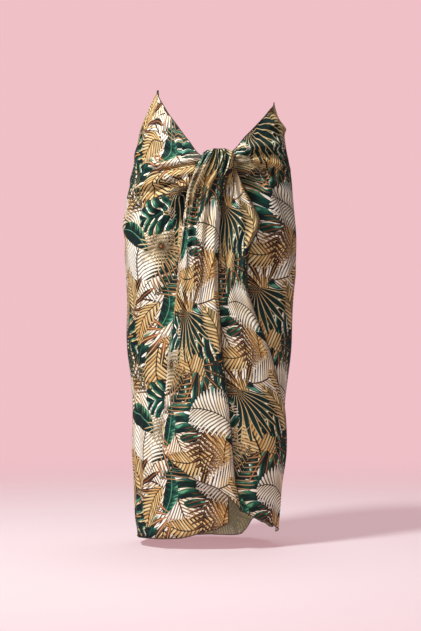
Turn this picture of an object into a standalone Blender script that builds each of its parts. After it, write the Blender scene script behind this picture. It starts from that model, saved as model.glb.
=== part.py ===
"""A beach sarong of light printed cloth, worn round the hips and knotted in front.

The cloth goes once round the body and its two ends cross in a knot below the waist. Two long tails
hang from the knot in front of the wrap. The front faces -Y, +X is the wearer's left, and the origin
is the middle of the waist at the height of the knot's top. Lengths are metres, angles are degrees
round the body from the front centre towards +X.
"""
from collections import namedtuple
from math import asin, cos, degrees, exp, pi, radians, sin

import bpy

# Cloth and clearances
WALL = 0.0016
SEAM = 0.0005
KNOT_CLEARANCE = 0.0008

# The body shape that the cloth follows
ROUNDNESS = 2.3
MEAN_RADIUS = 0.165

# Place and reach of the knot
KNOT_ANGLE = 5.0
KNOT_HEIGHT = -0.045
KNOT_FLOOR = -0.0710
GATHER_FORWARD = 0.012
GATHER_REACH = 0.055
KNOT_BED_TURN = 1.6
KNOT_BED_RISE = 0.004

# How sharply the highest of several folds leads where they meet
FOLD_BLEND = 3

# Where the three stretches of the wrap meet, and how far its front edges part below the knot
SIDE_SEAM = 100.0
FRONT_TOP = 5.0
LEFT_EDGE_AT_HEM = 12.5
RIGHT_EDGE_AT_HEM = 31.0

# Mesh density
ROWS = 48
ROW_START = 0.35
COLUMN_CROWDING = 0.40
LEFT_COLUMNS = 32
RIGHT_COLUMNS = 22
BACK_COLUMNS = 12
TAIL_COLUMNS = 14
TAIL_ROWS = 24
TAIL_ROW_CROWDING = 1.2
KNOT_SIDES = 48

Section = namedtuple("Section", "height right left front back")
SECTIONS = [
    Section(-0.930, 0.140, 0.174, 0.120, 0.114),
    Section(-0.855, 0.146, 0.178, 0.121, 0.115),
    Section(-0.780, 0.153, 0.181, 0.122, 0.117),
    Section(-0.705, 0.164, 0.185, 0.124, 0.119),
    Section(-0.610, 0.168, 0.184, 0.125, 0.121),
    Section(-0.540, 0.174, 0.188, 0.126, 0.123),
    Section(-0.450, 0.184, 0.198, 0.128, 0.127),
    Section(-0.350, 0.187, 0.197, 0.130, 0.133),
    Section(-0.235, 0.198, 0.203, 0.131, 0.139),
    Section(-0.130, 0.192, 0.202, 0.127, 0.133),
    Section(-0.060, 0.186, 0.188, 0.121, 0.124),
    Section(0.000, 0.174, 0.178, 0.115, 0.115),
    Section(0.047, 0.167, 0.169, 0.107, 0.109),
    Section(0.080, 0.154, 0.155, 0.100, 0.104),
    Section(0.110, 0.146, 0.141, 0.094, 0.099),
    Section(0.145, 0.138, 0.124, 0.087, 0.094),
]

Edge = namedtuple("Edge", "angle height")
TOP_EDGE = [
    Edge(-180, -0.014),
    Edge(-165, 0.008),
    Edge(-150, 0.042),
    Edge(-135, 0.078),
    Edge(-118, 0.112),
    Edge(-104, 0.133),
    Edge(-91, 0.140),
    Edge(-72, 0.127),
    Edge(-52, 0.105),
    Edge(-35, 0.072),
    Edge(-26, 0.050),
    Edge(-15, 0.012),
    Edge(-5, -0.028),
    Edge(5, -0.033),
    Edge(13, -0.012),
    Edge(22, 0.018),
    Edge(37, 0.053),
    Edge(57, 0.084),
    Edge(72, 0.099),
    Edge(88, 0.111),
    Edge(103, 0.104),
    Edge(120, 0.084),
    Edge(135, 0.060),
    Edge(150, 0.036),
    Edge(165, 0.007),
    Edge(180, -0.014),
]
HEM = [
    Edge(-180, -0.918),
    Edge(-150, -0.919),
    Edge(-120, -0.914),
    Edge(-90, -0.905),
    Edge(-60, -0.903),
    Edge(-35, -0.900),
    Edge(-20, -0.897),
    Edge(-8, -0.887),
    Edge(0, -0.879),
    Edge(12.5, -0.863),
    Edge(30, -0.846),
    Edge(45, -0.855),
    Edge(60, -0.866),
    Edge(80, -0.880),
    Edge(105, -0.889),
    Edge(125, -0.885),
    Edge(141, -0.876),
    Edge(147, -0.892),
    Edge(153, -0.914),
    Edge(180, -0.918),
]

Fold = namedtuple("Fold", "angle height end_angle end_height width rise end_rise")
WRAP_FOLDS = [
    # gathers that run from the knot over the hip at -X
    Fold(-7, -0.038, -44, -0.046, 0.013, 0.016, 0.012),
    Fold(-10, -0.064, -48, -0.094, 0.014, 0.016, 0.011),
    Fold(-13, -0.092, -38, -0.152, 0.015, 0.016, 0.010),
    Fold(-19, -0.128, -42, -0.232, 0.016, 0.014, 0.007),
    Fold(-24, -0.200, -36, -0.340, 0.018, 0.010, 0.003),
    Fold(-48, -0.094, -78, -0.116, 0.016, 0.009, 0.006),
    Fold(-22, -0.002, -72, 0.038, 0.018, 0.006, 0.005),
    Fold(-62, -0.150, -88, -0.196, 0.018, 0.008, 0.007),
    # gathers that run from the knot over the hip at +X
    Fold(15, -0.030, 33, -0.105, 0.013, 0.018, 0.016),
    Fold(33, -0.105, 54, -0.215, 0.016, 0.016, 0.006),
    Fold(19, -0.010, 74, 0.012, 0.013, 0.012, 0.009),
    Fold(28, -0.038, 74, -0.050, 0.013, 0.012, 0.008),
    Fold(38, -0.082, 76, -0.128, 0.014, 0.012, 0.006),
    Fold(50, 0.052, 84, 0.044, 0.015, 0.004, 0.005),
    # soft lengthwise folds below the hips
    Fold(-43, -0.330, -50, -0.640, 0.020, 0.007, 0.005),
    Fold(-66, -0.400, -68, -0.880, 0.018, 0.004, 0.006),
    Fold(-30, -0.620, -34, -0.890, 0.020, 0.004, 0.006),
    Fold(-92, -0.250, -96, -0.800, 0.022, 0.003, 0.004),
    Fold(62, -0.240, 58, -0.480, 0.016, 0.007, 0.004),
    Fold(88, -0.300, 92, -0.820, 0.022, 0.004, 0.003),
    # soft folds across and down the back
    Fold(122, -0.020, 150, -0.300, 0.024, 0.007, 0.003),
    Fold(-122, -0.010, -150, -0.310, 0.024, 0.007, 0.003),
    Fold(132, -0.300, 128, -0.870, 0.024, 0.004, 0.007),
    Fold(152, -0.420, 150, -0.890, 0.020, 0.003, 0.010),
    Fold(176, -0.260, 178, -0.900, 0.026, 0.003, 0.008),
    Fold(-156, -0.340, -158, -0.900, 0.024, 0.003, 0.007),
    Fold(-128, -0.300, -126, -0.900, 0.024, 0.004, 0.007),
    Fold(150, -0.010, 205, -0.030, 0.018, 0.004, 0.004),
]

TailRow = namedtuple("TailRow", "height left right left_lift right_lift crown")
CENTRE_ROWS = [
    TailRow(-0.840, -33.0, 22.5, 0.009, 0.017, 0.008),
    TailRow(-0.765, -33.0, 15.8, 0.009, 0.018, 0.007),
    TailRow(-0.695, -32.7, 12.6, 0.008, 0.018, 0.006),
    TailRow(-0.640, -33.4, 11.0, 0.007, 0.018, 0.006),
    TailRow(-0.570, -30.5, 8.8, 0.007, 0.018, 0.005),
    TailRow(-0.490, -27.0, 5.6, 0.007, 0.018, 0.005),
    TailRow(-0.400, -22.8, 3.9, 0.007, 0.019, 0.005),
    TailRow(-0.290, -19.0, 2.7, 0.008, 0.020, 0.005),
    TailRow(-0.190, -15.6, 3.4, 0.010, 0.022, 0.005),
    TailRow(-0.130, -13.4, 4.8, 0.018, 0.026, 0.005),
    TailRow(-0.096, -12.0, 6.0, 0.026, 0.031, 0.004),
    TailRow(KNOT_FLOOR - SEAM, -8.0, 7.4, 0.034, 0.035, 0.004),
]
RIGHT_ROWS = [
    TailRow(-0.900, 22.5, 82.0, 0.006, 0.008, 0.003),
    TailRow(-0.834, 22.0, 82.0, 0.006, 0.008, 0.003),
    TailRow(-0.800, 14.0, 82.0, 0.006, 0.008, 0.003),
    TailRow(-0.720, 9.0, 84.0, 0.006, 0.008, 0.003),
    TailRow(-0.670, 7.0, 82.0, 0.006, 0.007, 0.003),
    TailRow(-0.610, 5.0, 74.0, 0.006, 0.006, 0.003),
    TailRow(-0.560, 3.0, 59.0, 0.006, 0.006, 0.003),
    TailRow(-0.485, 1.0, 45.5, 0.006, 0.006, 0.003),
    TailRow(-0.440, 0.0, 37.0, 0.006, 0.006, 0.003),
    TailRow(-0.380, -1.0, 27.5, 0.006, 0.007, 0.002),
    TailRow(-0.310, -2.0, 21.0, 0.006, 0.008, 0.002),
    TailRow(-0.235, -2.0, 22.0, 0.007, 0.009, 0.003),
    TailRow(-0.180, -1.5, 29.0, 0.008, 0.015, 0.005),
    TailRow(-0.137, 0.5, 24.0, 0.011, 0.019, 0.006),
    TailRow(-0.100, 4.0, 18.0, 0.018, 0.022, 0.006),
    TailRow(KNOT_FLOOR - SEAM, 8.0, 12.6, 0.024, 0.026, 0.003),
]

HemPoint = namedtuple("HemPoint", "across height")
CENTRE_HEM = [
    HemPoint(0.0, -0.695),
    HemPoint(0.22, -0.727),
    HemPoint(0.5, -0.760),
    HemPoint(0.74, -0.783),
    HemPoint(1.0, -0.832),
]
RIGHT_HEM = [
    HemPoint(0.0, -0.834),
    HemPoint(0.30, -0.855),
    HemPoint(0.60, -0.869),
    HemPoint(1.0, -0.893),
]

Pleat = namedtuple("Pleat", "across end_across width rise end_rise")
CENTRE_PLEATS = [
    Pleat(0.20, 0.12, 0.15, 0.006, 0.007),
    Pleat(0.54, 0.44, 0.13, 0.006, 0.006),
    Pleat(0.84, 0.78, 0.12, 0.005, 0.006),
]
RIGHT_PLEATS = [
    Pleat(0.62, 0.30, 0.14, 0.003, 0.002),
    Pleat(0.80, 0.58, 0.13, 0.004, 0.005),
    Pleat(0.96, 0.86, 0.11, 0.003, 0.005),
]

KnotRing = namedtuple("KnotRing", "height left right thickness")
KNOT_RINGS = [
    KnotRing(-0.0090, 0.004, 0.026, 0.007),
    KnotRing(-0.0115, -0.005, 0.036, 0.014),
    KnotRing(-0.0170, -0.011, 0.042, 0.021),
    KnotRing(-0.0260, -0.015, 0.046, 0.026),
    KnotRing(-0.0370, -0.020, 0.046, 0.029),
    KnotRing(-0.0480, -0.026, 0.046, 0.030),
    KnotRing(-0.0590, -0.031, 0.047, 0.030),
    KnotRing(KNOT_FLOOR, -0.035, 0.049, 0.029),
]
KNOT_GROOVES = 3.5
KNOT_GROOVE_DEPTH = 0.003

COLOURS = {
    "wrap_left": (0.62, 0.50, 0.36, 1),
    "wrap_back": (0.55, 0.47, 0.36, 1),
    "wrap_right": (0.58, 0.47, 0.34, 1),
    "knot": (0.05, 0.19, 0.16, 1),
    "tail_centre": (0.48, 0.40, 0.28, 1),
    "tail_right": (0.38, 0.34, 0.25, 1),
}


def smooth(table, column, at):
    """The column's value at a key in the first column, along a smooth curve through the rows."""
    rows = sorted(table)
    keys = [row[0] for row in rows]
    values = [getattr(row, column) for row in rows]
    at = min(max(at, keys[0]), keys[-1])
    i = max(k for k in range(len(rows) - 1) if keys[k] <= at)
    slopes = []
    for k in (i, i + 1):
        before, after = max(k - 1, 0), min(k + 1, len(rows) - 1)
        slopes.append((values[after] - values[before]) / (keys[after] - keys[before]))
    span = keys[i + 1] - keys[i]
    u = (at - keys[i]) / span
    return (
        values[i] * (2 * u**3 - 3 * u**2 + 1)
        + slopes[0] * span * (u**3 - 2 * u**2 + u)
        + values[i + 1] * (3 * u**2 - 2 * u**3)
        + slopes[1] * span * (u**3 - u**2)
    )


def turned(angle):
    """The same direction as an angle from -180 to 180."""
    return (angle + 180) % 360 - 180


def signed_power(value, power):
    return abs(value) ** power * (1 if value >= 0 else -1)


def angle_at(x, height):
    """The angle whose point on the front of the body shape lies at x."""
    side = smooth(SECTIONS, "right" if x > 0 else "left", height)
    share = min(abs(x) / side, 1)
    return degrees(asin(share ** (ROUNDNESS / 2))) * (1 if x >= 0 else -1)


def fold_lift(folds, angle, height):
    """How far the ridges in a table lift the cloth at one place, the highest ridge leading."""
    lift = 0.0
    for fold in folds:
        across = radians(turned(angle - fold.angle)) * MEAN_RADIUS
        up = height - fold.height
        run = radians(fold.end_angle - fold.angle) * MEAN_RADIUS
        rise = fold.end_height - fold.height
        along = min(max((across * run + up * rise) / (run**2 + rise**2), 0), 1)
        distance = ((across - along * run) ** 2 + (up - along * rise) ** 2) ** 0.5
        strength = fold.rise + (fold.end_rise - fold.rise) * along
        lift += (strength * exp(-((distance / fold.width) ** 2))) ** FOLD_BLEND
    return lift ** (1 / FOLD_BLEND)


def gather_lift(angle, height):
    """How far the wrap comes forward where its ends are drawn into the knot."""
    across = radians(turned(angle - KNOT_ANGLE)) * MEAN_RADIUS
    distance = (across**2 + (height - KNOT_HEIGHT) ** 2) ** 0.5
    return GATHER_FORWARD * exp(-((distance / GATHER_REACH) ** 2))


def shape_point(angle, height, out):
    """A point out from the smooth body shape, square to its outline."""
    turn = radians(angle)
    side = smooth(SECTIONS, "right" if sin(turn) > 0 else "left", height)
    depth = smooth(SECTIONS, "front" if cos(turn) > 0 else "back", height)
    x = side * signed_power(sin(turn), 2 / ROUNDNESS)
    y = -depth * signed_power(cos(turn), 2 / ROUNDNESS)
    across = signed_power(x / side, ROUNDNESS - 1) / side
    along = signed_power(y / depth, ROUNDNESS - 1) / depth
    size = (across**2 + along**2) ** 0.5
    return (x + out * across / size, y + out * along / size, height)


def wrap_point(angle, height, out=0.0):
    """A point on the wrap's outer face with its folds, or that far outside it."""
    folds = fold_lift(WRAP_FOLDS, angle, height) + gather_lift(angle, height)
    return shape_point(angle, height, folds + out)


def front_of_wrap(x, height):
    """The foremost y of the wrap near one place on its front."""
    angle = angle_at(x, height)
    near = [
        wrap_point(angle + turn, height + up)[1]
        for turn in (-KNOT_BED_TURN, 0, KNOT_BED_TURN)
        for up in (-KNOT_BED_RISE, 0, KNOT_BED_RISE)
    ]
    return min(near)


def material(name):
    finish = bpy.data.materials.new(name)
    finish.use_nodes = True
    shader = finish.node_tree.nodes["Principled BSDF"]
    shader.inputs["Base Color"].default_value = COLOURS[name]
    shader.inputs["Roughness"].default_value = 0.85
    shader.inputs["Metallic"].default_value = 0.0
    finish.diffuse_color = COLOURS[name]
    return finish


def add_object(name, points, faces, collection):
    mesh = bpy.data.meshes.new(name)
    mesh.from_pydata(points, [], faces)
    mesh.materials.append(material(name))
    mesh.shade_smooth()
    piece = bpy.data.objects.new(name, mesh)
    collection.objects.link(piece)
    return piece


def grid_faces(columns, rows, folds_fall_left=False):
    """Quads of a grid whose points run down each row in turn, facing out of the body.

    Each starts at the corner whose diagonal runs along the folds.
    """
    faces = []
    for row in range(rows):
        for column in range(columns):
            first = row * (columns + 1) + column
            below = first + columns + 1
            face = (first, below, below + 1, first + 1)
            faces.append(face[1:] + face[:1] if folds_fall_left else face)
    return faces


def thicken(piece):
    """Give an open cloth surface its wall, inwards from the face that is drawn."""
    wall = piece.modifiers.new("cloth wall", "SOLIDIFY")
    wall.thickness = WALL
    wall.offset = -1
    wall.use_rim = True


def rows_down(row):
    """How far down the wrap a row lies, from 0 to 1, with the rows close near the knot."""
    share = row / ROWS
    return share * (ROW_START + (1 - ROW_START) * share**3)


def wrap_stretch(name, collection, columns, first_edge, last_edge, crowd=0.0):
    """One stretch of the wrap between two edges, each an angle at the top and at the hem.

    A crowd above 0 draws the columns together at the last edge, and one below 0 at the first. The
    folds fall away from the edge with the close columns.
    """
    points = []
    for row in range(ROWS + 1):
        down = rows_down(row)
        first = first_edge[0] + (first_edge[1] - first_edge[0]) * down
        last = last_edge[0] + (last_edge[1] - last_edge[0]) * down
        for column in range(columns + 1):
            across = column / columns
            across += crowd * across * (1 - across)
            angle = turned(first + (last - first) * across)
            top = smooth(TOP_EDGE, "height", angle)
            hem = smooth(HEM, "height", angle)
            points.append(wrap_point(angle, top + (hem - top) * down))
    piece = add_object(name, points, grid_faces(columns, ROWS, crowd > 0), collection)
    thicken(piece)
    return piece


def pleat_lift(pleats, across, down):
    lift = 0.0
    for pleat in pleats:
        middle = pleat.across + (pleat.end_across - pleat.across) * down
        strength = pleat.rise + (pleat.end_rise - pleat.rise) * down
        lift += strength * exp(-(((across - middle) / pleat.width) ** 2))
    return lift


def tail(name, collection, table, hem, pleats):
    """A tail that hangs from the knot's underside, in front of the smooth body shape."""
    points = []
    top = max(row.height for row in table)
    for row in range(TAIL_ROWS + 1):
        down = (row / TAIL_ROWS) ** TAIL_ROW_CROWDING
        for column in range(TAIL_COLUMNS + 1):
            across = column / TAIL_COLUMNS
            height = top + (smooth(hem, "height", across) - top) * down
            left = smooth(table, "left", height)
            right = smooth(table, "right", height)
            low = smooth(table, "left_lift", height)
            high = smooth(table, "right_lift", height)
            lift = low + (high - low) * across
            lift += smooth(table, "crown", height) * sin(pi * across)
            lift += pleat_lift(pleats, across, down) * min(1, 6 * down)
            points.append(shape_point(left + (right - left) * across, height, lift + WALL))
    piece = add_object(name, points, grid_faces(TAIL_COLUMNS, TAIL_ROWS), collection)
    thicken(piece)
    return piece


def knot(collection):
    """The knot, a closed lump of folded cloth that lies on the wrap, flat where the tails begin."""
    points = []
    for ring in KNOT_RINGS:
        middle = (ring.left + ring.right) / 2
        half = (ring.right - ring.left) / 2
        for side in range(KNOT_SIDES):
            turn = 2 * pi * side / KNOT_SIDES
            x = middle + half * signed_power(cos(turn), 0.8)
            back = front_of_wrap(x, ring.height) - KNOT_CLEARANCE
            bulge = max(sin(turn), 0) ** 0.8
            groove = KNOT_GROOVE_DEPTH * cos(KNOT_GROOVES * pi * (x - middle) / half) * bulge
            points.append((x, back - ring.thickness * bulge - groove, ring.height))
    faces = []
    for row in range(len(KNOT_RINGS) - 1):
        for side in range(KNOT_SIDES):
            here = row * KNOT_SIDES + side
            beside = row * KNOT_SIDES + (side + 1) % KNOT_SIDES
            faces.append((here, beside, beside + KNOT_SIDES, here + KNOT_SIDES))
    faces.append(tuple(reversed(range(KNOT_SIDES))))
    last = (len(KNOT_RINGS) - 1) * KNOT_SIDES
    faces.append(tuple(range(last, last + KNOT_SIDES)))
    return add_object("knot", points, faces, collection)


def main():
    for old in list(bpy.data.objects):
        bpy.data.objects.remove(old)
    collection = bpy.data.collections.new("sarong")
    bpy.context.scene.collection.children.link(collection)
    half_seam = degrees(SEAM / 2 / MEAN_RADIUS)
    side = SIDE_SEAM
    wrap_stretch(
        "wrap_left",
        collection,
        LEFT_COLUMNS,
        (-side + half_seam, -side + half_seam),
        (FRONT_TOP - half_seam, LEFT_EDGE_AT_HEM),
        COLUMN_CROWDING,
    )
    wrap_stretch(
        "wrap_right",
        collection,
        RIGHT_COLUMNS,
        (FRONT_TOP + half_seam, RIGHT_EDGE_AT_HEM),
        (side - half_seam, side - half_seam),
        -COLUMN_CROWDING,
    )
    wrap_stretch(
        "wrap_back",
        collection,
        BACK_COLUMNS,
        (side + half_seam, side + half_seam),
        (360 - side - half_seam, 360 - side - half_seam),
    )
    tail("tail_right", collection, RIGHT_ROWS, RIGHT_HEM, RIGHT_PLEATS)
    tail("tail_centre", collection, CENTRE_ROWS, CENTRE_HEM, CENTRE_PLEATS)
    knot(collection)


main()
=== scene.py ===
"""The looks of a leaf-printed beach sarong, worn round the hips and knotted in front.

Lengths are metres and angles are degrees round the body from the front centre towards +X. The
front faces -Y. The cloth follows the same body shape, edges and folds as the solids.
"""
from collections import namedtuple
from math import cos, pi, radians, sin

import bpy
import numpy as np
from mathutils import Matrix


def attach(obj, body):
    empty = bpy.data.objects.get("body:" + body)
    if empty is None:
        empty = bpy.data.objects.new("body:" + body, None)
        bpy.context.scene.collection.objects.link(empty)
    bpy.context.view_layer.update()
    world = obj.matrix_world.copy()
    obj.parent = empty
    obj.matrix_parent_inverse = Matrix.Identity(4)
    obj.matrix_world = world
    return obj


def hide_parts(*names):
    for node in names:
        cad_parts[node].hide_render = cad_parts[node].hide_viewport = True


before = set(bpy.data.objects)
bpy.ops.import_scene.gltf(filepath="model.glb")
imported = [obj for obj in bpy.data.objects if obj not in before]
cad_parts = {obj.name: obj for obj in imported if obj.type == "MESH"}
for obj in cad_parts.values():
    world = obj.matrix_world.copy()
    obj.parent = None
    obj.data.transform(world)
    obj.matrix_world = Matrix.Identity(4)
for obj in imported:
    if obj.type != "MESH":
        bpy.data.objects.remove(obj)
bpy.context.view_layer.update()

# Cloth, body shape and knot, as in the solids
WALL = 0.0016
CLOTH = 0.0007
ROUNDNESS = 2.3
MEAN_RADIUS = 0.165
KNOT_ANGLE = 5.0
KNOT_HEIGHT = -0.045
GATHER_FORWARD = 0.012
GATHER_REACH = 0.055
FRONT_TOP = 5.0
LEFT_EDGE_AT_HEM = 12.5
RIGHT_EDGE_AT_HEM = 31.0
FOLD_BLEND = 3

# How the wrap's flat cloth is drawn together at the knot
GATHER_CLOTH = 1.3
GATHER_CLOTH_REACH = 0.085

# Where the girth is measured, and the share of the rows at which the print hangs level
GIRTH_HEIGHT = -0.30
GIRTH_STEPS = 720
LEVEL_SHARE = 0.62

# Gap between the wrap's two free edges at the waist, in degrees to each side of the middle
HALF_EDGE_GAP = 0.3

# Mesh density
WRAP_COLUMNS = 250
WRAP_ROWS = 180
ROW_START = 0.45
CLOSER_IN_FRONT = 0.055
TAIL_COLUMNS = 64
TAIL_ROWS = 260
TAIL_ROW_SPREAD = 1.15
HEM_SIDES = 6
HEM_RADIUS = 0.0011

# View of the photograph: metres a pixel at the body's middle, distance and image centre
PIXEL = 0.00235
CAMERA_DISTANCE = 4.0
IMAGE_HEIGHT = 631
IMAGE_CENTRE_X = -0.0035
IMAGE_CENTRE_Z = -0.389
FLOOR_HEIGHT = -0.924

Section = namedtuple("Section", "height right left front back")
SECTIONS = [
    Section(-0.930, 0.140, 0.174, 0.120, 0.114),
    Section(-0.855, 0.146, 0.178, 0.121, 0.115),
    Section(-0.780, 0.153, 0.181, 0.122, 0.117),
    Section(-0.705, 0.164, 0.185, 0.124, 0.119),
    Section(-0.610, 0.168, 0.184, 0.125, 0.121),
    Section(-0.540, 0.174, 0.188, 0.126, 0.123),
    Section(-0.450, 0.184, 0.198, 0.128, 0.127),
    Section(-0.350, 0.187, 0.197, 0.130, 0.133),
    Section(-0.235, 0.198, 0.203, 0.131, 0.139),
    Section(-0.130, 0.192, 0.202, 0.127, 0.133),
    Section(-0.060, 0.186, 0.188, 0.121, 0.124),
    Section(0.000, 0.174, 0.178, 0.115, 0.115),
    Section(0.047, 0.167, 0.169, 0.107, 0.109),
    Section(0.080, 0.154, 0.155, 0.100, 0.104),
    Section(0.110, 0.146, 0.141, 0.094, 0.099),
    Section(0.145, 0.138, 0.124, 0.087, 0.094),
]

Edge = namedtuple("Edge", "angle height")
TOP_EDGE = [
    Edge(-180, -0.014),
    Edge(-165, 0.008),
    Edge(-150, 0.042),
    Edge(-135, 0.078),
    Edge(-118, 0.112),
    Edge(-104, 0.133),
    Edge(-91, 0.140),
    Edge(-72, 0.127),
    Edge(-52, 0.105),
    Edge(-35, 0.072),
    Edge(-26, 0.050),
    Edge(-15, 0.012),
    Edge(-5, -0.028),
    Edge(5, -0.033),
    Edge(13, -0.012),
    Edge(22, 0.018),
    Edge(37, 0.053),
    Edge(57, 0.084),
    Edge(72, 0.099),
    Edge(88, 0.111),
    Edge(103, 0.104),
    Edge(120, 0.084),
    Edge(135, 0.060),
    Edge(150, 0.036),
    Edge(165, 0.007),
    Edge(180, -0.014),
]
HEM = [
    Edge(-180, -0.918),
    Edge(-150, -0.919),
    Edge(-120, -0.914),
    Edge(-90, -0.905),
    Edge(-60, -0.903),
    Edge(-35, -0.900),
    Edge(-20, -0.897),
    Edge(-8, -0.887),
    Edge(0, -0.879),
    Edge(12.5, -0.863),
    Edge(30, -0.846),
    Edge(45, -0.855),
    Edge(60, -0.866),
    Edge(80, -0.880),
    Edge(105, -0.889),
    Edge(125, -0.885),
    Edge(141, -0.876),
    Edge(147, -0.892),
    Edge(153, -0.914),
    Edge(180, -0.918),
]

Fold = namedtuple("Fold", "angle height end_angle end_height width rise end_rise")
WRAP_FOLDS = [
    # gathers that run from the knot over the hip at -X
    Fold(-7, -0.038, -52, -0.048, 0.012, 0.018, 0.015),
    Fold(-10, -0.064, -56, -0.100, 0.013, 0.017, 0.015),
    Fold(-13, -0.092, -46, -0.172, 0.014, 0.018, 0.015),
    Fold(-19, -0.128, -46, -0.250, 0.015, 0.018, 0.011),
    Fold(-24, -0.200, -40, -0.370, 0.017, 0.014, 0.006),
    Fold(-48, -0.094, -78, -0.116, 0.016, 0.009, 0.006),
    Fold(-22, -0.002, -72, 0.038, 0.018, 0.006, 0.005),
    Fold(-62, -0.150, -88, -0.196, 0.018, 0.008, 0.007),
    # gathers that run from the knot over the hip at +X
    Fold(15, -0.030, 33, -0.105, 0.014, 0.019, 0.020),
    Fold(33, -0.105, 54, -0.215, 0.017, 0.020, 0.009),
    Fold(19, -0.010, 74, 0.012, 0.013, 0.012, 0.009),
    Fold(30, -0.036, 74, -0.050, 0.012, 0.009, 0.008),
    Fold(42, -0.086, 76, -0.128, 0.013, 0.009, 0.006),
    Fold(50, 0.052, 84, 0.044, 0.015, 0.004, 0.005),
    # soft lengthwise folds below the hips
    Fold(-43, -0.330, -50, -0.640, 0.020, 0.007, 0.005),
    Fold(-66, -0.400, -68, -0.880, 0.018, 0.004, 0.006),
    Fold(-30, -0.620, -34, -0.890, 0.020, 0.004, 0.006),
    Fold(-92, -0.250, -96, -0.800, 0.022, 0.003, 0.004),
    Fold(62, -0.240, 58, -0.480, 0.016, 0.007, 0.004),
    Fold(88, -0.300, 92, -0.820, 0.022, 0.004, 0.003),
    # soft folds across and down the back
    Fold(122, -0.020, 152, -0.330, 0.021, 0.012, 0.005),
    Fold(-122, -0.010, -154, -0.340, 0.021, 0.012, 0.005),
    Fold(132, -0.280, 128, -0.870, 0.022, 0.005, 0.011),
    Fold(152, -0.400, 150, -0.890, 0.018, 0.005, 0.013),
    Fold(176, -0.240, 178, -0.900, 0.022, 0.004, 0.012),
    Fold(-156, -0.320, -158, -0.900, 0.020, 0.005, 0.012),
    Fold(-128, -0.280, -126, -0.900, 0.022, 0.005, 0.011),
    Fold(148, -0.020, 208, -0.050, 0.016, 0.008, 0.005),
]
SMALL_FOLDS = [
    # fine folds between the large gathers
    Fold(-9, -0.051, -34, -0.066, 0.006, 0.005, 0.003),
    Fold(-12, -0.078, -38, -0.120, 0.006, 0.006, 0.003),
    Fold(-16, -0.110, -34, -0.190, 0.007, 0.006, 0.003),
    Fold(-21, -0.165, -34, -0.268, 0.007, 0.005, 0.002),
    Fold(-40, -0.066, -66, -0.076, 0.007, 0.005, 0.003),
    Fold(-46, -0.120, -70, -0.150, 0.008, 0.005, 0.003),
    Fold(-14, 0.010, -58, 0.082, 0.008, 0.003, 0.003),
    Fold(-24, 0.024, -66, 0.066, 0.010, 0.003, 0.003),
    Fold(-58, 0.000, -92, -0.020, 0.014, 0.004, 0.003),
    Fold(-70, -0.060, -100, -0.080, 0.012, 0.003, 0.003),
    Fold(21, -0.022, 60, -0.018, 0.006, 0.006, 0.003),
    Fold(24, -0.056, 52, -0.096, 0.007, 0.006, 0.003),
    Fold(32, -0.084, 50, -0.170, 0.007, 0.005, 0.003),
    Fold(58, -0.072, 84, -0.086, 0.009, 0.005, 0.001),
    Fold(60, -0.022, 82, -0.026, 0.009, 0.005, 0.001),
    Fold(30, 0.022, 70, 0.068, 0.008, 0.003, 0.003),
    Fold(42, 0.026, 88, 0.050, 0.010, 0.003, 0.003),
    Fold(46, -0.190, 60, -0.300, 0.010, 0.004, 0.002),
    # slack below the hips
    Fold(-30, -0.300, -44, -0.470, 0.012, 0.004, 0.002),
    Fold(-56, -0.240, -62, -0.420, 0.012, 0.004, 0.003),
    Fold(-38, -0.520, -41, -0.760, 0.013, 0.003, 0.004),
    Fold(-54, -0.560, -56, -0.880, 0.014, 0.003, 0.005),
    Fold(-78, -0.460, -80, -0.860, 0.014, 0.003, 0.004),
    Fold(-18, -0.720, -16, -0.870, 0.013, 0.002, 0.004),
    Fold(-4, -0.740, 0, -0.860, 0.014, 0.002, 0.005),
    Fold(76, -0.260, 78, -0.620, 0.012, 0.004, 0.003),
    Fold(100, -0.220, 104, -0.560, 0.012, 0.003, 0.003),
    Fold(110, -0.560, 108, -0.870, 0.014, 0.002, 0.005),
    # the back, as uneven as the front
    Fold(118, -0.070, 144, -0.240, 0.009, 0.006, 0.002),
    Fold(-118, -0.060, -146, -0.250, 0.009, 0.006, 0.002),
    Fold(154, -0.110, 196, -0.150, 0.010, 0.005, 0.002),
    Fold(112, -0.020, 138, -0.180, 0.010, 0.005, 0.003),
    Fold(-110, -0.010, -140, -0.170, 0.010, 0.005, 0.003),
    Fold(140, -0.060, 200, -0.080, 0.011, 0.004, 0.004),
    Fold(146, -0.360, 142, -0.860, 0.013, 0.002, 0.005),
    Fold(164, -0.300, 166, -0.880, 0.013, 0.003, 0.006),
    Fold(-168, -0.340, -170, -0.890, 0.013, 0.003, 0.006),
    Fold(-142, -0.300, -143, -0.880, 0.013, 0.003, 0.005),
    Fold(-112, -0.340, -110, -0.860, 0.014, 0.003, 0.005),
]
LEAN = 0.42
FADE_FROM = 0.6
FADE_AT_END = 0.6
DEEPER_NEAR_KNOT = 0.75
DEEPER_REACH = 0.14
SLACK = 0.0007

# Cloth that the folds take up, for each metre that they rise or fall
CLOTH_IN_FOLDS = 0.9

# Fine pleats that run out of the knot: direction round it and width in degrees, rise and reach
PLEATS_START = 0.025
Gather = namedtuple("Gather", "direction width rise reach")
GATHERS = [
    Gather(152, 6, 0.004, 0.080),
    Gather(186, 5, 0.005, 0.075),
    Gather(213, 5, 0.005, 0.080),
    Gather(240, 5, 0.004, 0.090),
    Gather(252, 4, 0.003, 0.100),
    Gather(62, 6, 0.003, 0.080),
    Gather(34, 5, 0.005, 0.075),
    Gather(8, 5, 0.005, 0.080),
    Gather(-14, 5, 0.005, 0.080),
    Gather(-48, 5, 0.004, 0.100),
]

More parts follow.
